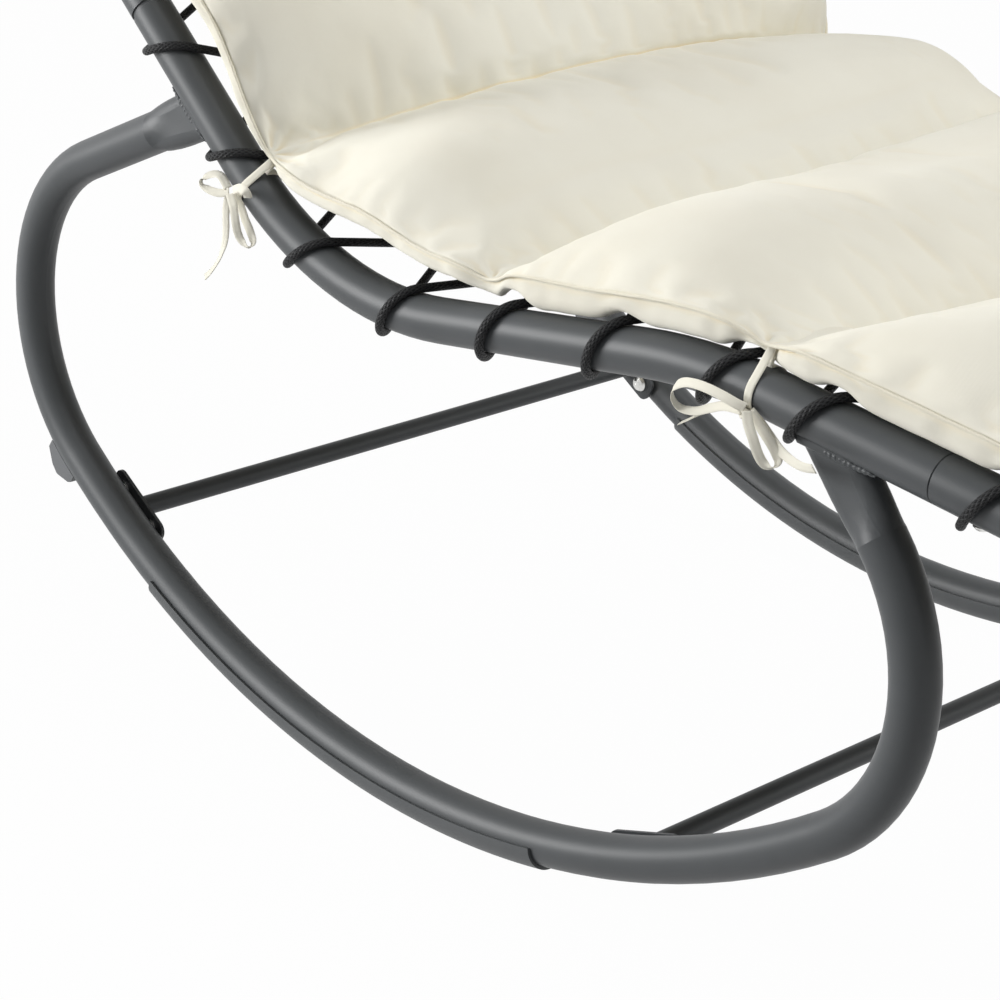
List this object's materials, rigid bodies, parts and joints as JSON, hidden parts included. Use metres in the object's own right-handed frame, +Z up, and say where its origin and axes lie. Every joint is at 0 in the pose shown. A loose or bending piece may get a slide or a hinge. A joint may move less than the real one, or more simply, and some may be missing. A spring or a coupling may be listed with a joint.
{
  "type": "rocking chaise lounge",
  "caption": "Rocking chaise lounge of bent steel tube on boat-shaped rockers, with a laced fabric sling and a channelled cushion tied on with ribbons.",
  "frame": {"origin": "on the floor, under the middle of the overall length and width, in the rest pose of the picture", "axes": "+X towards the foot end, +Y towards the sitter's left, +Z up"},
  "size_m": [1.7624, 0.7114, 0.9697],
  "materials": {
    "frame_coat": "anthracite powder coat, satin",
    "zinc_screws": "zinc plated, half bright",
    "strip_plastic": "grey moulded plastic",
    "stop_plastic": "black moulded plastic",
    "sling_fabric": "plain woven polyester",
    "eyelet_metal": "plated, half bright",
    "cord_braid": "black braided polyester",
    "cushion_fabric": "cream polyester weave",
    "ribbon_fabric": "cream woven tape"
  },
  "bodies": {
    "root": {"seat_rail_right": "frame_coat", "seat_rail_left": "frame_coat", "head_frame": "frame_coat", "foot_frame": "frame_coat", "rocker_tube_right": "frame_coat", "rocker_tube_left": "frame_coat", "rear_crossbar": "frame_coat", "front_crossbar": "frame_coat", "head_joint_screws": "zinc_screws", "foot_joint_screws": "zinc_screws", "joint_nuts": "zinc_screws", "rear_crossbar_bolts": "zinc_screws", "front_crossbar_bolts": "zinc_screws", "crossbar_rivet_nuts": "zinc_screws", "glide_strip_screws": "zinc_screws", "rear_stop_screws": "zinc_screws", "glide_strip_right": "strip_plastic", "glide_strip_left": "strip_plastic", "rear_stop_right": "stop_plastic", "rear_stop_left": "stop_plastic", "sling": "sling_fabric", "eyelets_right": "eyelet_metal", "eyelets_left": "eyelet_metal", "lacing_cord_right": "cord_braid", "lacing_cord_left": "cord_braid", "cushion": "cushion_fabric", "tie_1_right": "ribbon_fabric", "tie_1_left": "ribbon_fabric", "tie_2_right": "ribbon_fabric", "tie_2_left": "ribbon_fabric", "tie_3_right": "ribbon_fabric", "tie_3_left": "ribbon_fabric"}
  },
  "joints": []
}
